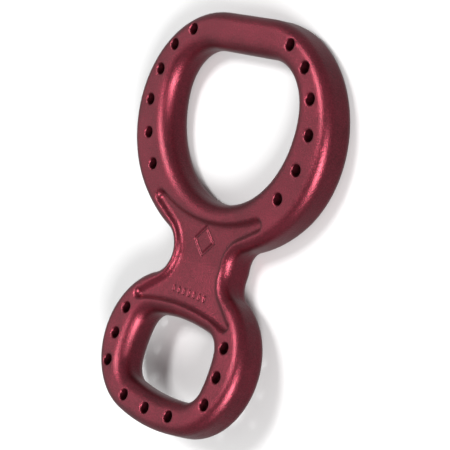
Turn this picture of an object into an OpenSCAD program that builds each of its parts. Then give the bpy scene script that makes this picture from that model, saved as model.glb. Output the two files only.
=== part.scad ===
// Figure-eight rope descender: one aluminium forging with a big rope ring, a
// recessed waist and a small connector ring that is set forward of the big one.
// It lies on the back of the big ring: +Z is out of the front face, +Y runs
// towards the big ring's top bar, and X runs across.

/* [Body] */
// Thickness of the forging between its two flat faces
thickness = 10; // [8:0.5:14]
// Radius of the rounding on the outer edges
outer_round = 3; // [1.5:0.25:4]
// Radius of the rounding on the edges that the rope and connector run over
inner_round = 4; // [2:0.25:4.5]

/* [Big ring] */
// Width of the rope opening
eye_w = 49.4; // [42:0.2:60]
// From the middle of the rope opening's round part up to its flat edge
eye_rise = 14.4; // [11:0.2:18]
// Radius of the rope opening's two upper corners
eye_corner_r = 13.4; // [8:0.2:16]
// Width of the ring on each side of the rope opening
band_w = 13; // [10.5:0.25:18]
// Width of the bar above the rope opening
bar_w = 10; // [9:0.25:14]
// Radius of the ring's shoulders
shoulder_r = 29.2; // [24:0.2:32]
// Radius of the flatter stretch between a shoulder and the waist
flank_r = 41; // [34:1:60]
// Direction in which a shoulder runs into that stretch, below level
flank_start = 46; // [40:1:52]

/* [Waist] */
// Width at the narrowest part
waist_w = 23.8; // [20:0.2:30]
// Radius of the notch on each side
notch_r = 5.6; // [5:0.1:8]
// Angle that the small ring is set forward by
set_angle = 11.4; // [2:0.2:15]
// Radius of the bend, at mid thickness
bend_r = 12; // [10:1:20]

/* [Small ring] */
// Width of the connector opening
link_w = 32; // [27:0.2:38]
// Height of the connector opening
link_l = 20.2; // [17:0.2:24]
// Radius of the connector opening's corners
link_corner_r = 5.7; // [4.5:0.1:7]
// Bow radius of the connector opening's upper and lower edges
link_bow_r = 66; // [45:1:120]
// Bow radius of the connector opening's sides
link_side_r = 29; // [24:1:60]
// Width of the ring on each side of the connector opening
side_w = 11.8; // [9.5:0.1:15]
// Width of the ring below the connector opening
foot_w = 9.2; // [8.8:0.1:12]
// Outer radius of the ring's sides
side_r = 19.8; // [17:0.2:22]
// Outer radius of the ring's foot
foot_r = 58.6; // [45:1:90]

/* [Recess] */
// Depth of the recess in each face of the waist
recess_d = 1.5; // [0.5:0.1:2.2]
// Slope of the recess's walls, from upright
recess_draft = 50; // [20:1:60]
// Width of the rim between the recess and a notch
notch_rim = 2.6; // [2:0.1:4]
// Width of the rim between the recess and the rope opening
eye_rim = 4.6; // [4.2:0.1:7]
// Width of the rim between the recess and the connector opening
link_rim = 2.9; // [2.5:0.1:4]
// Radius of the recess's edge beside the rope opening
eye_rim_r = 43; // [36:1:60]
// Radius of the recess's edge beside the connector opening
link_rim_r = 70; // [50:1:100]
// How far each upper lobe of the recess reaches sideways
upper_reach = 19.5; // [16:0.5:21]
// How far each lower lobe of the recess reaches sideways
lower_reach = 18; // [15:0.5:19]
// Slope of the recess's edge along the big ring
upper_slope = 30; // [26:1:38]
// Slope of the recess's edge along the small ring
lower_slope = 38; // [34:1:48]

/* [Holes] */
// Diameter of the small through holes
hole_d = 3; // [2:0.1:4]
// Chamfer at each end of a hole
hole_chamfer = 0.3; // [0.1:0.05:0.6]
// From the rope opening's corners to the hole centres beside them
corner_margin = 5.9; // [5.6:0.1:7]
// Angle between two holes beside a corner
corner_pitch = 24.8; // [20:0.2:28]
// From the rope opening's round part to the hole centres below the corners
round_margin = 7; // [6:0.1:8]
// Angle between two holes along the round part
round_pitch = 16.5; // [13:0.5:18]
// From the connector opening's sides to the hole centres beside them
side_margin = 5.5; // [5.2:0.1:6.5]
// Angle between two holes beside the connector opening
side_pitch = 12.5; // [10:0.5:14]
// From the connector opening's foot to the hole centres below it
foot_margin = 4.6; // [4.5:0.1:5.5]
// Angle between two holes below the connector opening
foot_pitch = 7.8; // [6:0.2:9]

/* [Part] */
// Which node to build

/* [Hidden] */
$fn = 96;
maroon = [0.47, 0.13, 0.19];
half_t = thickness / 2;
outer_rf = min(outer_round, half_t - 0.4);
inner_rf = min(inner_round, half_t - 0.4);
// Cutters run this far past a face.
over = 1;
// A straight rim starts this far inside the round one that it leaves.
crossing = 0.12;
// The small ring's recess is deeper and wider by this where it meets the other.
crossing_d = 0.05;
draft = tan(recess_draft);
// Directions of the first hole beside a corner and along the round part.
corner_first = 66.4;
round_first = -3.7;

function along(from, radius, angle) = from + radius * [cos(angle), sin(angle)];
function bearing(from, to) = atan2(to[1] - from[1], to[0] - from[0]);
// The point where two circles cross, on the left of the line from a to b.
function cross_left(a, ra, b, rb) =
    let (d = norm(b - a), u = (b - a) / d, x = (d * d + ra * ra - rb * rb) / (2 * d))
    a + x * u + sqrt(ra * ra - x * x) * [-u[1], u[0]];
function flip(p) = [-p[0], p[1]];

// Each ring is drawn flat and above its own end of the bend, which is y = 0.
notch = [waist_w / 2 + notch_r, 0];

ring_w = eye_w + 2 * band_w;
shoulder_x = ring_w / 2 - shoulder_r;
flank_x = shoulder_x - (flank_r - shoulder_r) * cos(flank_start);
flank = [flank_x, sqrt(pow(flank_r + notch_r, 2) - pow(notch[0] - flank_x, 2))];
shoulder = along(flank, flank_r - shoulder_r, -flank_start);
ring_top = shoulder[1] + shoulder_r;

eye_r = eye_w / 2;
eye_top = ring_top - bar_w;
eye_mid = [0, eye_top - eye_rise];
eye_corner_y = eye_rise - eye_corner_r;
eye_corner = eye_mid
    + [sqrt(pow(eye_r - eye_corner_r, 2) - pow(eye_corner_y, 2)), eye_corner_y];
eye_turn = bearing(eye_mid, eye_corner);

side_x = link_w / 2 + side_w - side_r;
side = [side_x, sqrt(pow(side_r + notch_r, 2) - pow(notch[0] - side_x, 2))];
foot = [0, side[1] - sqrt(pow(foot_r - side_r, 2) - pow(side_x, 2))];
foot_end = bearing(foot, side);
ring_foot = foot[1] + foot_r;

// The connector opening: the middles of its near and far edges' bows, of a
// side's bow, and of a far and a near corner.
link_mid = [0, ring_foot - foot_w - link_l / 2];
bow_near = link_mid + [0, link_bow_r - link_l / 2];
bow_far = link_mid - [0, link_bow_r - link_l / 2];
bow_side = link_mid + [link_w / 2 - link_side_r, 0];
corner_far = cross_left(
    bow_side, link_side_r - link_corner_r, bow_far, link_bow_r - link_corner_r);
corner_near = [corner_far[0], 2 * link_mid[1] - corner_far[1]];
link_turn = bearing(bow_side, corner_far);
bow_turn = bearing(bow_far, corner_far);

// The lowest Y of the tilted small ring: the rounding of its back edge.
low_y = (outer_rf - ring_foot) * cos(set_angle)
    - (bend_r + half_t - outer_rf) * sin(set_angle) - outer_rf;

// A ring's skin is made of loops of points that follow each edge. An edge is
// rounded in flat steps: each row of it has an inset from the outline and a
// height, from the front face down to the back one. The first and last rows
// stand past the faces, by this share of a step, for the faces to cut them off.
steps = 5;
lift = 0.3;
rows = 2 * (steps + 1);
function step_point(rf, grow, a) = [rf * (1 - sin(a)), half_t + grow - rf * (1 - cos(a))];
function step_row(rf, grow, k) =
    k > 0
        ? step_point(rf, grow, 90 * k / steps)
        : (1 + lift) * step_point(rf, grow, 0) - lift * step_point(rf, grow, 90 / steps);
function rounding(rf, grow = 0) = [
    for (side = [1, -1], k = [0:steps])
        let (p = step_row(rf, grow, side > 0 ? k : steps - k))
        [p[0], side * p[1]]];

// Points along an arc, each with the direction that leads out of the body:
// away from mid, or towards it where the body is outside the arc. The arc's
// last point is left to the run that follows.
function arc_run(mid, r, from, to, count, hollow = false) = [
    for (k = [0:count - 1])
        let (a = from + (to - from) * k / count)
        [along(mid, r, a), (hollow ? -1 : 1) * [cos(a), sin(a)]]];
function flip_run(run, last = 0) = [
    for (k = [len(run) - 1:-1:last])
        [flip(run[k][0]), flip(run[k][1])]];
function rest(list) = [for (k = [1:len(list) - 1]) list[k]];
function from_item(list, first) = [
    for (k = [0:len(list) - 1]) list[(k + first) % len(list)]];

// Each ring's outline, anticlockwise from the waist's right edge to its left.
big_half = concat(
    arc_run(notch, notch_r, 180, bearing(notch, flank), 6, hollow = true),
    arc_run(flank, flank_r, bearing(flank, notch), -flank_start, 4),
    arc_run(shoulder, shoulder_r, -flank_start, 90, 22),
    [[[shoulder_x, ring_top], [0, 1]]]);
big_run = concat(big_half, flip_run(big_half));
small_half = concat(
    arc_run(notch, notch_r, 180, bearing(notch, side), 6, hollow = true),
    arc_run(side, side_r, bearing(side, notch), foot_end, 18),
    arc_run(foot, foot_r, foot_end, 90, 4),
    [[[0, ring_foot], [0, 1]]]);
small_run = concat(small_half, rest(flip_run(small_half)));

// The waist's end is crossed by a row of points from left to right.
cross_count = 8;
cross_half = waist_w / 2 - outer_rf;
cross_x = [for (k = [1:cross_count - 1]) cross_half * (2 * k / cross_count - 1)];

// The openings' edges, anticlockwise from below the waist's right edge. Each
// has as many points as the outline and the waist's row around it.
eye_foot = 25;
eye_half = concat(
    arc_run(eye_mid, eye_r, eye_foot - 90, eye_turn, 18, hollow = true),
    arc_run(eye_corner, eye_corner_r, eye_turn, 90, 14, hollow = true),
    [[[eye_corner[0], eye_top], [0, -1]]]);
eye_run = concat(
    eye_half, flip_run(eye_half),
    rest(arc_run(eye_mid, eye_r, -90 - eye_foot, eye_foot - 90, cross_count, hollow = true)));
link_half = concat(
    arc_run(bow_near, link_bow_r, -90, -bow_turn, 4, hollow = true),
    arc_run(corner_near, link_corner_r, -bow_turn, -link_turn, 8, hollow = true),
    arc_run(bow_side, link_side_r, -link_turn, link_turn, 8, hollow = true),
    arc_run(corner_far, link_corner_r, link_turn, bow_turn, 8, hollow = true),
    arc_run(bow_far, link_bow_r, bow_turn, 90, 4, hollow = true),
    [[bow_far + [0, link_bow_r], [0, -1]]]);
link_run = from_item(
    concat(link_half, rest(flip_run(link_half, last = 1))), cross_count / 2);

// Turns a point of the flat drawing about the bend's axis.
function tilt(p, a) =
    let (z = p[2] - bend_r)
    [p[0], p[1] * cos(a) + z * sin(a), bend_r - p[1] * sin(a) + z * cos(a)];
function edge_points(run, rf) = [
    for (q = run, e = rounding(rf))
        [q[0][0] - q[1][0] * e[0], q[0][1] - q[1][1] * e[0], e[1]]];

// Below y = 0 a ring has its half of the bend and a short tail, which tucks
// into the other ring's half. The small ring's half swells a little at each
// section, so that the two cross there. A section is [turn, drop, growth to each
// side, growth to each face].
tail = 0.5;
tuck = 0.07;
swell = 0.01;
bend_count = 2;
function sections(grow) = [
    for (b = [1:bend_count])
        [set_angle / 2 * b / bend_count, 0, 2 * grow * b, grow * b],
    [set_angle / 2, tail, -tuck, -tuck]];
function section_points(s, side) = [
    for (e = rounding(outer_rf, s[3]))
        tilt([side * (waist_w / 2 + s[2] - e[0]), -s[1], e[1]], s[0])];

function ring_points(run, opening, grow) =
    let (list = sections(grow))
    concat(
        edge_points(run, outer_rf),
        [for (s = list) each section_points(s, -1)],
        [for (k = [len(list) - 1:-1:0]) each section_points(list[k], 1)],
        edge_points(opening, inner_rf),
        [for (x = cross_x, side = [1, -1]) [x, 0, side * step_row(outer_rf, 0, 0)[1]]]);

// The side view of both faces. It runs on past the tail at the tail's slope.
function side_view(grow) =
    let (
        list = sections(grow),
        past = [
            list[bend_count][0], 2 * tail, 0,
            2 * list[bend_count][3] - list[bend_count - 1][3]],
        bend = concat([[0, 0, 0, 0]], [for (b = [0:bend_count - 1]) list[b]], [past]),
        sheets = [
            for (side = [1, -1])
                [for (s = bend) tilt([0, -s[1], side * (half_t + s[3])], s[0])]])
    concat(
        [[ring_w, -half_t], [ring_w, half_t]],
        [for (p = sheets[0]) [p[1], p[2]]],
        [for (k = [len(bend) - 1:-1:0]) [sheets[1][k][1], sheets[1][k][2]]]);

// Triangles between two rows of points, a above b as seen from outside.
function ribbon(a, b, closed = true) = [
    for (k = [0:len(a) - (closed ? 1 : 2)])
        let (n = (k + 1) % len(a))
        each [[a[k], a[n], b[n]], [a[k], b[n], b[k]]]];
function loop(first, count, row) = [for (i = [0:count - 1]) (first + i) * rows + row];

// One face, front or back: the ring around its opening, then the bend.
function face_sheet(count, opening_count, row, back) =
    let (
        around = count + 2 * (bend_count + 1),
        first = rows * (around + opening_count) + back,
        inner = [for (k = [0:cross_count - 2]) first + 2 * k],
        left = [for (b = [0:bend_count + 1]) (count - 1 + b) * rows + row],
        right = [for (b = [0:bend_count + 1]) ((around - b) % around) * rows + row],
        waist_row = concat([left[0]], inner, [right[0]]))
    concat(
        ribbon(loop(around, opening_count, row), concat(loop(0, count, row), inner)),
        [for (k = [0:cross_count - 1]) [waist_row[k], waist_row[k + 1], left[1]]],
        [[right[0], right[1], left[1]]],
        [for (b = [1:bend_count]) each [
            [left[b], right[b], right[b + 1]], [left[b], right[b + 1], left[b + 1]]]]);

function ring_faces(count, opening_count) =
    let (around = count + 2 * (bend_count + 1))
    concat(
        [for (j = [0:rows - 2]) each ribbon(
            loop(0, around, j), loop(0, around, j + 1))],
        [for (j = [0:rows - 2]) each ribbon(
            loop(around, opening_count, j + 1), loop(around, opening_count, j))],
        face_sheet(count, opening_count, 0, 0),
        [for (f = face_sheet(count, opening_count, rows - 1, 1)) [f[2], f[1], f[0]]]);

module both_sides() {
    children();
    mirror([1, 0, 0])
        children();
}

module both_faces() {
    children();
    mirror([0, 0, 1])
        children();
}

// A keep-out for the recess: a cone whose radius at the face is r, and which
// widens down to the recess's floor.
module rim_cone(mid, r) {
    translate([mid[0], mid[1], half_t - recess_d - over])
        cylinder(
            r1 = r + (recess_d + over) * draft,
            r2 = r - over * draft,
            h = recess_d + 2 * over);
}

// The same for a straight rim that leaves a round one, of radius r around mid,
// at an angle to level.
module rim_wedge(mid, r, angle, run) {
    depth = recess_d + over;
    translate([mid[0], mid[1], half_t])
        rotate([0, 0, angle])
            rotate([90, 0, 90])
                linear_extrude(run)
                    polygon([
                        [0, -depth], [r + depth * draft, -depth],
                        [r - over * draft, over], [0, over]]);
}

// Half of the front recess, for the ring above. Its far edge crosses the
// middle at y = lip, with radius lip_r. Each lobe is a groove that narrows
// between that edge and the straight rim, and ends in a cone. The floor is
// deeper and the rims beside the notches are narrower by ease.
module recess_half(lip, lip_r, angle, reach, ease = 0) {
    floor_d = recess_d + ease;
    rim_r = notch_r + notch_rim - ease;
    past = (bend_r + half_t) * tan(set_angle / 2) + tail + over;
    lip_mid = [0, lip + lip_r];
    rim_start = along(notch, rim_r, 90 + angle);
    high = lip_mid[1] - sqrt(lip_r * lip_r - reach * reach);
    low = rim_start[1] + (reach - rim_start[0]) * tan(angle);
    lean = (angle + asin(reach / lip_r)) / 2;
    tip = [reach, (high + low) / 2];
    tip_r = (high - low) / 2 * cos(lean);
    tip_d = min(recess_d, tip_r / draft);
    inner = along(tip, tip_r + over, 90 + lean);
    outer = along(tip, tip_r + over, lean - 90);
    difference() {
        union() {
            translate([0, 0, half_t - floor_d])
                linear_extrude(floor_d + over)
                    polygon([
                        notch - [0, past], notch, outer, inner, flip(inner),
                        flip(outer), flip(notch), flip(notch) - [0, past]]);
            for (p = [tip, flip(tip)])
                translate([p[0], p[1], half_t - tip_d])
                    cylinder(
                        r1 = tip_r - tip_d * draft,
                        r2 = tip_r + over * draft,
                        h = tip_d + over);
        }
        rim_cone(lip_mid, lip_r);
        both_sides() {
            rim_cone(notch, rim_r);
            rim_wedge(notch, rim_r - crossing, angle, reach);
        }
    }
}

module hole(p) {
    translate([p[0], p[1], 0]) {
        cylinder(d = hole_d, h = thickness + 2 * over, center = true);
        both_faces()
            translate([0, 0, half_t - hole_chamfer])
                cylinder(
                    d1 = hole_d,
                    d2 = hole_d + 2 * (hole_chamfer + over),
                    h = hole_chamfer + over);
    }
}

module ring_skin(run, opening, grow = 0) {
    intersection() {
        polyhedron(
            points = ring_points(run, opening, grow),
            faces = ring_faces(len(run), len(opening)));
        rotate([90, 0, 90])
            linear_extrude(2 * ring_w, center = true)
                polygon(side_view(grow));
    }
}

module big_ring() {
    difference() {
        ring_skin(big_run, eye_run);
        both_faces()
            recess_half(eye_mid[1] - eye_r - eye_rim, eye_rim_r, upper_slope, upper_reach);
        both_sides()
            for (i = [0:2]) {
                hole(along(
                    eye_corner, eye_corner_r + corner_margin, corner_first - i * corner_pitch));
                hole(along(eye_mid, eye_r + round_margin, round_first - i * round_pitch));
            }
    }
}

module small_ring() {
    difference() {
        ring_skin(small_run, link_run, grow = swell);
        both_faces()
            recess_half(
                link_mid[1] - link_l / 2 - link_rim, link_rim_r, lower_slope, lower_reach,
                ease = crossing_d);
        both_sides()
            for (i = [-1:1])
                hole(along(bow_side, link_side_r + side_margin, i * side_pitch));
        for (i = [-1:1])
            hole(along(bow_far, link_bow_r + foot_margin, 90 + i * foot_pitch));
    }
}

module descender_body() {
    color(maroon)
        translate([0, -(ring_top + low_y) / 2, half_t]) {
            big_ring();
            translate([0, 0, bend_r])
                rotate([-set_angle, 0, 0])
                    translate([0, 0, -bend_r])
                        mirror([0, 1, 0])
                            small_ring();
        }
}

descender_body();
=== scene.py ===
"""Rope descender: one aluminium forging with a satin maroon anodised finish, lying
on the flat back of its big ring.

The visible mesh is the forging with smooth roundings, where the CAD node has flat
steps. Both rings are drawn flat, above the waist's middle line, and a distance
field bends the small one forward and cuts the recesses and the holes. Lengths are in
millimetres until the mesh is placed."""

import math
import bpy
import numpy as np
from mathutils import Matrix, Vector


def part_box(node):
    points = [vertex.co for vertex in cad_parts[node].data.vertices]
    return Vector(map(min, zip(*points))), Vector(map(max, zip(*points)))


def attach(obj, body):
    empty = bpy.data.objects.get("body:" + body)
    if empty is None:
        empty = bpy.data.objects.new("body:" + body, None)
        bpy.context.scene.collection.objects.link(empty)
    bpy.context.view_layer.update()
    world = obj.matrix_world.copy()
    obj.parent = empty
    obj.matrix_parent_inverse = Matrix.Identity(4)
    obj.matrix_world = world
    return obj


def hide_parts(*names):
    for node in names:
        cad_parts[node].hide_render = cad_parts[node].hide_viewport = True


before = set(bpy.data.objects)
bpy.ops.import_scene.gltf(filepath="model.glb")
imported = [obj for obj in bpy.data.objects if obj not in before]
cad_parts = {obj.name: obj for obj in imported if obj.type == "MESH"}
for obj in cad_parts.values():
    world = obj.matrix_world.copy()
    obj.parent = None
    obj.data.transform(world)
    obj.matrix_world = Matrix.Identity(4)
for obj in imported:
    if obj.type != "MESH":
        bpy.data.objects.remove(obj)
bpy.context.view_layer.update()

import openvdb as vdb
from mathutils import Matrix, Vector

MM = 0.001

# Body
THICKNESS = 10.0
HALF_T = THICKNESS / 2
OUTER_ROUND = 3.0
INNER_ROUND = 4.0
RIDGE_H, RIDGE_W = 0.05, 0.35

# Big ring, drawn flat above the waist's middle line
EYE_W = 49.4
EYE_RISE = 14.4
EYE_CORNER_R = 13.4
BAND_W = 13.0
BAR_W = 10.0
SHOULDER_R = 29.2
FLANK_R = 41.0
FLANK_START = 46.0

# Waist
WAIST_W = 23.8
NOTCH_R = 5.6
SET_ANGLE = math.radians(11.4)
BEND_R = 12.0

# Small ring, drawn flat and above its own end of the bend
LINK_W = 32.0
LINK_L = 20.2
LINK_CORNER_R = 5.7
LINK_BOW_R = 66.0
LINK_SIDE_R = 29.0
SIDE_W = 11.8
FOOT_W = 9.2
SIDE_R = 19.8
FOOT_R = 58.6

# Recess, in both faces
RECESS_D = 1.4
RECESS_DRAFT = math.radians(35)
NOTCH_RIM = 2.6
EYE_RIM, EYE_RIM_R = 4.6, 43.0
LINK_RIM, LINK_RIM_R = 2.9, 70.0
UPPER_REACH, UPPER_SLOPE = 19.5, 30.0
LOWER_REACH, LOWER_SLOPE = 18.0, 38.0
LOBE_ROUND = 0.5
FLOOR_FILLET = 0.8
LIP_ROUND = 0.6

# Plain engraving in the front recess: a diamond over a row of dashes
STROKE = 0.3
ENGRAVE_D = 0.3
ENGRAVE_ROUND = 0.2
DIAMOND_V, DIAMOND_REACH = 4.8, 3.7
DASH_V, DASH_PITCH, DASH_HALF, DASH_ENDS = -7.9, 2.1, 0.55, 3

# Holes
HOLE_R = 1.5
HOLE_CHAMFER = 0.15
HOLE_ROUND = 0.15
CORNER_MARGIN, CORNER_FIRST, CORNER_PITCH = 5.9, 66.4, 24.8
ROUND_MARGIN, ROUND_FIRST, ROUND_PITCH = 7.0, -3.7, 16.5
SIDE_MARGIN, SIDE_PITCH = 5.5, 12.5
FOOT_MARGIN, FOOT_PITCH = 4.6, 7.8

# Sampling: the field's cell, the length of an arc's chords, the flat drawing's grid
# and the room left round the body
CELL = 0.25
CHORD = 0.5
PLAN_CELL = 0.25
MARGIN = 4.0
RING_LIFT = 9.5

# Studio
FLOOR_HALF = 1.5
FLOOR_DROP = 0.00002
FLOOR_GREY = 0.74
WORLD_STRENGTH = 0.36
LIGHT_DISTANCE = 1.2
CAMERA_TURN, CAMERA_RISE, CAMERA_ROLL = 8.2, 41.45, 84.4
CAMERA_DISTANCE = 0.373
CAMERA_LENS, CAMERA_SENSOR = 114.3, 36.0
AIM_OFFSET = (0.0016, 0.0007, -0.0052)


def polar(mid, r, degrees):
    """The point at distance r from mid in that direction."""
    a = math.radians(degrees)
    return np.array([mid[0] + r * math.cos(a), mid[1] + r * math.sin(a)])


def bearing(start, end):
    """The direction from start to end, in degrees."""
    return math.degrees(math.atan2(end[1] - start[1], end[0] - start[0]))


def arc(mid, r, first, last):
    """Points along an arc, in degrees, without its last one."""
    count = max(2, math.ceil(math.radians(abs(last - first)) * r / CHORD))
    return [polar(mid, r, first + (last - first) * k / count) for k in range(count)]


def cross_left(a, ra, b, rb):
    """Where two circles cross, on the left of the line from a to b."""
    d = np.linalg.norm(b - a)
    u = (b - a) / d
    x = (d * d + ra * ra - rb * rb) / (2 * d)
    return a + x * u + math.sqrt(ra * ra - x * x) * np.array([-u[1], u[0]])


def both_halves(run):
    """A run of points on the right, and the same one backwards on the left."""
    return run + [p * (-1, 1) for p in reversed(run)]


# The big ring's outline and opening.
notch = np.array([WAIST_W / 2 + NOTCH_R, 0.0])
shoulder_x = EYE_W / 2 + BAND_W - SHOULDER_R
flank_x = shoulder_x - (FLANK_R - SHOULDER_R) * math.cos(math.radians(FLANK_START))
flank = np.array(
    [flank_x, math.sqrt((FLANK_R + NOTCH_R) ** 2 - (notch[0] - flank_x) ** 2)]
)
shoulder = polar(flank, FLANK_R - SHOULDER_R, -FLANK_START)
ring_top = shoulder[1] + SHOULDER_R
big_outline = both_halves(
    arc(notch, NOTCH_R, 180, bearing(notch, flank))
    + arc(flank, FLANK_R, bearing(flank, notch), -FLANK_START)
    + arc(shoulder, SHOULDER_R, -FLANK_START, 90)
    + [np.array([shoulder[0], ring_top])]
)
eye_r = EYE_W / 2
eye_mid = np.array([0.0, ring_top - BAR_W - EYE_RISE])
corner_y = EYE_RISE - EYE_CORNER_R
eye_corner = eye_mid + (math.sqrt((eye_r - EYE_CORNER_R) ** 2 - corner_y**2), corner_y)
eye_turn = bearing(eye_mid, eye_corner)
eye_outline = both_halves(
    arc(eye_mid, eye_r, -90, eye_turn)
    + arc(eye_corner, EYE_CORNER_R, eye_turn, 90)
    + [eye_corner + (0, EYE_CORNER_R)]
)

# The small ring's, drawn above its end of the bend like the big one.
side_x = LINK_W / 2 + SIDE_W - SIDE_R
side = np.array(
    [side_x, math.sqrt((SIDE_R + NOTCH_R) ** 2 - (notch[0] - side_x) ** 2)]
)
foot = np.array([0.0, side[1] - math.sqrt((FOOT_R - SIDE_R) ** 2 - side_x**2)])
ring_foot = foot[1] + FOOT_R
small_outline = both_halves(
    arc(notch, NOTCH_R, 180, bearing(notch, side))
    + arc(side, SIDE_R, bearing(side, notch), bearing(foot, side))
    + arc(foot, FOOT_R, bearing(foot, side), 90)
)
link_mid = np.array([0.0, ring_foot - FOOT_W - LINK_L / 2])
bow_near = link_mid + (0, LINK_BOW_R - LINK_L / 2)
bow_far = link_mid - (0, LINK_BOW_R - LINK_L / 2)
bow_side = link_mid + (LINK_W / 2 - LINK_SIDE_R, 0)
corner_far = cross_left(
    bow_side, LINK_SIDE_R - LINK_CORNER_R, bow_far, LINK_BOW_R - LINK_CORNER_R
)
corner_near = np.array([corner_far[0], 2 * link_mid[1] - corner_far[1]])
link_turn = bearing(bow_side, corner_far)
bow_turn = bearing(bow_far, corner_far)
link_outline = both_halves(
    arc(bow_near, LINK_BOW_R, -90, -bow_turn)
    + arc(corner_near, LINK_CORNER_R, -bow_turn, -link_turn)
    + arc(bow_side, LINK_SIDE_R, -link_turn, link_turn)
    + arc(corner_far, LINK_CORNER_R, link_turn, bow_turn)
    + arc(bow_far, LINK_BOW_R, bow_turn, 90)
)

big_holes = [
    polar(eye_corner, EYE_CORNER_R + CORNER_MARGIN, CORNER_FIRST - i * CORNER_PITCH)
    for i in range(3)
] + [
    polar(eye_mid, eye_r + ROUND_MARGIN, ROUND_FIRST - i * ROUND_PITCH)
    for i in range(3)
]
small_holes = [
    polar(bow_side, LINK_SIDE_R + SIDE_MARGIN, i * SIDE_PITCH) for i in (-1, 0, 1)
] + [polar(bow_far, LINK_BOW_R + FOOT_MARGIN, 90 - i * FOOT_PITCH) for i in (0, 1)]


def soft_max(a, b, k):
    """The larger of two fields, with their corner rounded over a width of k."""
    return np.maximum(a, b) + np.maximum(k - np.abs(a - b), 0) ** 2 / (4 * k)


def polygon_field(points, u, v):
    """The distance to a closed outline, negative inside it."""
    points = np.array(points)
    nearest = np.full(u.shape, np.inf)
    inside = np.zeros(u.shape, bool)
    for p, q in zip(points, np.roll(points, -1, axis=0)):
        e = q - p
        length = e @ e
        if length < 1e-12:
            continue
        du, dv = u - p[0], v - p[1]
        t = np.clip((du * e[0] + dv * e[1]) / length, 0, 1)
        nearest = np.minimum(nearest, (du - t * e[0]) ** 2 + (dv - t * e[1]) ** 2)
        if p[1] != q[1]:
            crosses = (p[1] > v) != (q[1] > v)
            inside ^= crosses & (u < p[0] + (v - p[1]) * e[0] / e[1])
    return np.where(inside, -1, 1) * np.sqrt(nearest)


def recess_field(u, v, lip, lip_r, slope, reach):
    """The recess's outline in one ring's face: it is bounded by the lip beside the
    opening and by the rims of the notches, and its two lobes have round ends."""
    rim_r = NOTCH_R + NOTCH_RIM
    u = np.abs(u)
    lip_mid = lip + lip_r
    from_lip = lip_r - np.hypot(u, v - lip_mid)
    a = math.radians(slope)
    along = (u - notch[0]) * math.cos(a) + (v - notch[1]) * math.sin(a)
    across = -(u - notch[0]) * math.sin(a) + (v - notch[1]) * math.cos(a)
    from_rim = rim_r - np.where(along > 0, np.abs(across), np.hypot(along, across))
    start = polar(notch, rim_r, 90 + slope)
    high = lip_mid - math.sqrt(lip_r**2 - reach**2)
    low = start[1] + (reach - start[0]) * math.tan(a)
    lean = (a + math.asin(reach / lip_r)) / 2
    tip = (reach, (high + low) / 2)
    tip_r = (high - low) / 2 * math.cos(lean)
    past = (u - tip[0]) * math.cos(lean) + (v - tip[1]) * math.sin(lean)
    groove = soft_max(from_lip, from_rim, LOBE_ROUND)
    return np.where(past > 0, np.hypot(u - tip[0], v - tip[1]) - tip_r, groove)


def engraving_field(u, v):
    """The strokes of the engraving."""
    diamond = (np.abs(u) + np.abs(v - DIAMOND_V) - DIAMOND_REACH) / math.sqrt(2)
    place = np.clip(np.round(u / DASH_PITCH), -DASH_ENDS, DASH_ENDS) * DASH_PITCH
    dash = np.hypot(u - place, np.maximum(np.abs(v - DASH_V) - DASH_HALF, 0))
    return np.minimum(np.abs(diamond), dash) - STROKE


def hole_field(u, v, holes):
    """The distance to the nearest hole's wall, with each hole on both sides."""
    u = np.abs(u)
    return np.minimum.reduce([np.hypot(u - p[0], v - p[1]) for p in holes]) - HOLE_R


def whole_outline():
    """The whole body's outline in the flat drawing: the big ring's anticlockwise
    from the waist's right edge, then the small ring's from its left edge."""
    return big_outline + [p * (1, -1) for p in reversed(small_outline)]


class Plan:
    """The flat drawing's fields on a fine grid. v is positive in the big ring and
    negative in the small one."""

    def __init__(self):
        self.u0 = -(EYE_W / 2 + BAND_W + MARGIN)
        self.v0 = -(ring_foot + MARGIN)
        u = np.arange(self.u0, -self.u0 + PLAN_CELL, PLAN_CELL)
        v = np.arange(self.v0, ring_top + MARGIN, PLAN_CELL)
        u, v = np.meshgrid(u, v, indexing="ij")
        up = v >= 0
        eye_lip = eye_mid[1] - eye_r - EYE_RIM
        link_lip = link_mid[1] - LINK_L / 2 - LINK_RIM
        self.fields = {
            "outline": polygon_field(whole_outline(), u, v),
            "opening": np.where(
                up,
                polygon_field(eye_outline, u, v),
                polygon_field(link_outline, u, -v),
            ),
            "recess": np.where(
                up,
                recess_field(u, v, eye_lip, EYE_RIM_R, UPPER_SLOPE, UPPER_REACH),
                recess_field(u, -v, link_lip, LINK_RIM_R, LOWER_SLOPE, LOWER_REACH),
            ),
            "hole": np.where(
                up,
                hole_field(u, v, big_holes),
                hole_field(u, -v, small_holes),
            ),
            "engraving": engraving_field(u, v),
        }

    def read(self, name, u, v):
        """A field at any point, by linear interpolation."""
        f = self.fields[name].astype(np.float32)
        i = np.clip((u - self.u0) / PLAN_CELL, 0, f.shape[0] - 1.001)
        j = np.clip((v - self.v0) / PLAN_CELL, 0, f.shape[1] - 1.001)
        i0, j0 = i.astype(np.int32), j.astype(np.int32)
        i, j = (i - i0).astype(np.float32), (j - j0).astype(np.float32)
        low = f[i0, j0] * (1 - j) + f[i0, j0 + 1] * j
        high = f[i0 + 1, j0] * (1 - j) + f[i0 + 1, j0 + 1] * j
        return low * (1 - i) + high * i


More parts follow.
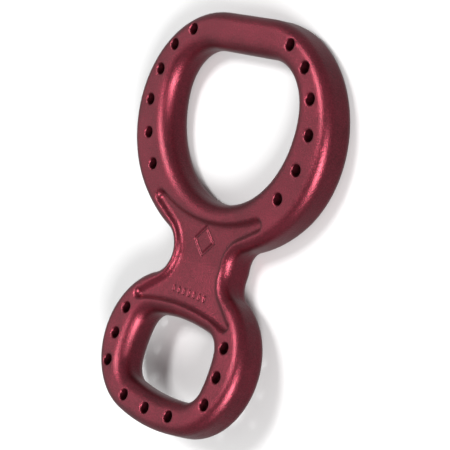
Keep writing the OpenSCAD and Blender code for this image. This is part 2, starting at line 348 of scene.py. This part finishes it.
def unbend(y, z):
    """Each point's place in the flat drawing: v along it and w above mid
    thickness. z is measured from the big ring's mid thickness."""
    reach = BEND_R - z
    turn = np.arctan2(-y, reach)
    radius = np.hypot(y, reach)
    c, s = math.cos(SET_ANGLE), math.sin(SET_ANGLE)
    v_low = y * c + reach * s
    w_low = BEND_R - (reach * c - y * s)
    in_bend = (y < 0) & (turn < SET_ANGLE)
    v = np.where(y >= 0, y, np.where(in_bend, 0, np.minimum(v_low, 0)))
    w = np.where(y >= 0, z, np.where(in_bend, BEND_R - radius, w_low))
    return v, w


def rounded(across, height, r):
    """An edge between a side wall and a face, rounded to radius r."""
    a, b = across + r, height + r
    return (
        np.minimum(np.maximum(a, b), 0)
        + np.hypot(np.maximum(a, 0), np.maximum(b, 0))
        - r
    )


def body_field(plan, x, y, z):
    """The distance to the forging's skin, negative inside."""
    v, w = unbend(y, z)
    outline = plan.read("outline", x, v)
    opening = plan.read("opening", x, v)
    recess = plan.read("recess", x, v)
    hole = plan.read("hole", x, v)
    engraving = plan.read("engraving", x, v)
    depth = np.abs(w)
    height = depth - HALF_T
    ridge = RIDGE_H * np.exp(-((w / RIDGE_W) ** 2)) * (outline > -OUTER_ROUND)
    body = np.maximum(
        rounded(outline - ridge, height, OUTER_ROUND),
        rounded(-opening, height, INNER_ROUND),
    )
    wall = recess * math.cos(RECESS_DRAFT) - height * math.sin(RECESS_DRAFT)
    recess_cut = soft_max(wall, -height - RECESS_D, FLOOR_FILLET)
    body = soft_max(body, -recess_cut, LIP_ROUND)
    groove = np.maximum(engraving, HALF_T - RECESS_D - ENGRAVE_D - w)
    body = soft_max(body, -groove, ENGRAVE_ROUND)
    hole_cut = hole - np.maximum(height + HOLE_CHAMFER, 0)
    return soft_max(body, -hole_cut, HOLE_ROUND)


def read_cells(f, q):
    """A sampled field at points given in cells, by linear interpolation."""
    i = np.clip(q.astype(int), 0, np.array(f.shape) - 2)
    t = q - i
    total = 0
    for corner in np.ndindex(2, 2, 2):
        weight = np.prod(np.where(corner, t, 1 - t), axis=1)
        total = total + weight * f[tuple((i + corner).T)]
    return total


def skin():
    """The skin's points, normals and faces, in the big ring's flat frame. The points
    of the field's mesh are moved onto the zero level in two Newton steps, and the
    field's slope there gives the normals."""
    plan = Plan()
    pad = 4 * CELL
    low = np.array([-(EYE_W / 2 + BAND_W), -(ring_foot + MARGIN), -HALF_T]) - pad
    high = np.array([EYE_W / 2 + BAND_W, ring_top, HALF_T + RING_LIFT]) + pad
    axes = [np.arange(a, b + CELL, CELL, dtype=np.float32) for a, b in zip(low, high)]
    x, y, z = np.meshgrid(*axes, indexing="ij", sparse=True)
    x, y, z = np.broadcast_arrays(x, y, z)
    field = body_field(plan, x, y, z).astype(np.float32)
    grid = vdb.FloatGrid(background=float(pad))
    grid.copyFromArray(np.clip(field, -pad, pad))
    points, triangles, quads = grid.convertToPolygons(isovalue=0.0, adaptivity=0.02)
    cell = points.astype(np.float64)
    slope = np.gradient(field)
    for _ in range(2):
        n = np.stack([read_cells(s, cell) for s in slope], axis=1)
        size = np.maximum((n**2).sum(axis=1), 1e-9)
        step = (read_cells(field, cell) / size)[:, None] * n
        cell = cell - np.clip(step, -0.5, 0.5)
    n = np.stack([read_cells(s, cell) for s in slope], axis=1)
    n /= np.maximum(np.linalg.norm(n, axis=1), 1e-9)[:, None]
    faces = triangles.tolist() + quads.tolist()
    return low + cell * CELL, n, faces


# The forging stands where its CAD node stands: the ends of the top bars agree.
node = "descender_body"
node_low, node_high = (np.array(c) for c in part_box(node))
points, normals, faces = skin()
shift = np.array([0.0, node_high[1] / MM - points[:, 1].max(), HALF_T])
mesh = bpy.data.meshes.new("forging")
mesh.from_pydata(((points + shift) * MM).tolist(), [], faces)
mesh.validate()
mesh.polygons.foreach_set("use_smooth", [True] * len(mesh.polygons))
mesh.update()
mesh.normals_split_custom_set_from_vertices(normals.tolist())
forging = bpy.data.objects.new("forging", mesh)
bpy.context.scene.collection.objects.link(forging)


def node_tools(material):
    """Short calls for building a material's nodes: add makes a node and sets its
    properties and sockets by name, and link joins two sockets."""
    tree = material.node_tree

    def add(kind, **values):
        n = tree.nodes.new(kind)
        for key, value in values.items():
            if hasattr(n, key):
                setattr(n, key, value)
            else:
                n.inputs[key].default_value = value
        return n

    def link(a, b):
        tree.links.new(a, b)

    return add, link


def anodised():
    """Maroon dye over a tumbled forging: slow cloudiness and a fine speckle in the
    dye, a grain that sparkles, a slow unevenness, and paler worn edges."""
    material = bpy.data.materials.new("maroon_anodised")
    material.use_nodes = True
    material.node_tree.nodes.clear()
    add, link = node_tools(material)
    place = add("ShaderNodeTexCoord").outputs["Object"]

    cloud = add("ShaderNodeTexNoise", Scale=90.0, Detail=4.0, Roughness=0.6)
    link(place, cloud.inputs["Vector"])
    grain = add("ShaderNodeTexNoise", Scale=2700.0, Detail=2.0, Roughness=0.5)
    link(place, grain.inputs["Vector"])
    peel = add("ShaderNodeTexNoise", Scale=700.0, Detail=2.0, Roughness=0.5)
    link(place, peel.inputs["Vector"])

    uneven = add("ShaderNodeMix", data_type="FLOAT", Factor=0.6)
    link(cloud.outputs["Fac"], uneven.inputs["A"])
    link(grain.outputs["Fac"], uneven.inputs["B"])
    dye = add("ShaderNodeValToRGB")
    dye.color_ramp.elements[0].position = 0.36
    dye.color_ramp.elements[0].color = (0.115, 0.009, 0.019, 1)
    dye.color_ramp.elements[1].position = 0.64
    dye.color_ramp.elements[1].color = (0.235, 0.02, 0.041, 1)
    link(uneven.outputs["Result"], dye.inputs["Fac"])

    worn = add("ShaderNodeNewGeometry").outputs["Pointiness"]
    edge = add("ShaderNodeMapRange")
    edge.inputs["From Min"].default_value = 0.53
    edge.inputs["From Max"].default_value = 0.62
    edge.inputs["To Max"].default_value = 0.35
    link(worn, edge.inputs["Value"])
    colour = add("ShaderNodeMix", data_type="RGBA")
    colour.inputs["B"].default_value = (0.36, 0.06, 0.09, 1)
    link(edge.outputs["Result"], colour.inputs["Factor"])
    link(dye.outputs["Color"], colour.inputs["A"])

    rough = add("ShaderNodeMapRange")
    rough.inputs["To Min"].default_value = 0.26
    rough.inputs["To Max"].default_value = 0.42
    link(grain.outputs["Fac"], rough.inputs["Value"])

    fine = add("ShaderNodeBump", Strength=0.9, Distance=0.00012)
    link(grain.outputs["Fac"], fine.inputs["Height"])
    broad = add("ShaderNodeBump", Strength=0.3, Distance=0.0001)
    link(peel.outputs["Fac"], broad.inputs["Height"])
    link(fine.outputs["Normal"], broad.inputs["Normal"])

    metal = add("ShaderNodeBsdfPrincipled")
    metal.inputs["Metallic"].default_value = 0.9
    metal.inputs["Coat Weight"].default_value = 0.4
    metal.inputs["Coat Roughness"].default_value = 0.4
    link(colour.outputs["Result"], metal.inputs["Base Color"])
    link(rough.outputs["Result"], metal.inputs["Roughness"])
    link(broad.outputs["Normal"], metal.inputs["Normal"])
    out = add("ShaderNodeOutputMaterial")
    link(metal.outputs["BSDF"], out.inputs["Surface"])
    return material


mesh.materials.append(anodised())
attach(forging, "root")
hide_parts(node)


def plain(name, colour, roughness):
    """A plain matt material for the floor."""
    material = bpy.data.materials.new(name)
    material.use_nodes = True
    shader = material.node_tree.nodes["Principled BSDF"]
    shader.inputs["Base Color"].default_value = (*colour, 1)
    shader.inputs["Roughness"].default_value = roughness
    shader.inputs["Specular IOR Level"].default_value = 0.2
    return material


# A wide pale floor at the base of the part.
floor_mesh = bpy.data.meshes.new("floor")
floor_corners = [(-1, -1), (1, -1), (1, 1), (-1, 1)]
floor_mesh.from_pydata(
    [(x * FLOOR_HALF, y * FLOOR_HALF, 0) for x, y in floor_corners],
    [],
    [(0, 1, 2, 3)],
)
floor = bpy.data.objects.new("floor", floor_mesh)
floor_mesh.materials.append(plain("floor_pale", [FLOOR_GREY] * 3, 0.9))
floor.location.z = node_low[2] - FLOOR_DROP
bpy.context.scene.collection.objects.link(floor)
# The metal doesn't mirror the floor, so its side walls stay as dark as in open air.
floor.visible_glossy = False


def direction(turn, rise):
    """A unit vector: turn from +X towards +Y and rise above level, in degrees."""
    t, r = math.radians(turn), math.radians(rise)
    return Vector((math.cos(r) * math.cos(t), math.cos(r) * math.sin(t), math.sin(r)))


def softbox(name, turn, rise, width, height, power):
    """An area light in that direction from the part, facing it."""
    light = bpy.data.lights.new(name, "AREA")
    light.shape = "RECTANGLE"
    light.size, light.size_y = width, height
    light.energy = power
    holder = bpy.data.objects.new(name, light)
    away = direction(turn, rise)
    holder.location = away * LIGHT_DISTANCE
    holder.rotation_euler = away.to_track_quat("Z", "Y").to_euler()
    bpy.context.scene.collection.objects.link(holder)


world = bpy.data.worlds.new("studio")
world.use_nodes = True
background = world.node_tree.nodes["Background"]
background.inputs["Color"].default_value = (1, 1, 1, 1)
background.inputs["Strength"].default_value = WORLD_STRENGTH
bpy.context.scene.world = world

softbox("side", turn=-20, rise=30, width=0.45, height=0.35, power=18.0)
softbox("top", turn=120, rise=68, width=0.35, height=0.35, power=9.5)
softbox("fill", turn=188, rise=45, width=1.1, height=0.9, power=2.1)

# The camera looks down from the part's right side, rolled so that the length of
# the part stands up in the view.
centre = Vector(((node_low + node_high) / 2).tolist())
aim = centre + Vector(AIM_OFFSET)
camera_data = bpy.data.cameras.new("camera")
camera_data.sensor_width = CAMERA_SENSOR
camera_data.lens = CAMERA_LENS
camera = bpy.data.objects.new("camera", camera_data)
away = direction(CAMERA_TURN, CAMERA_RISE)
level_up = (Vector((0, 0, 1)) - away * away.z).normalized()
level_right = level_up.cross(away)
roll = math.radians(CAMERA_ROLL)
up = level_up * math.cos(roll) + level_right * math.sin(roll)
right = up.cross(away)
camera.matrix_world = Matrix.Translation(aim + away * CAMERA_DISTANCE) @ Matrix(
    (right, up, away)
).transposed().to_4x4()
bpy.context.scene.collection.objects.link(camera)
bpy.context.scene.camera = camera

bpy.context.scene.view_settings.view_transform = "Standard"
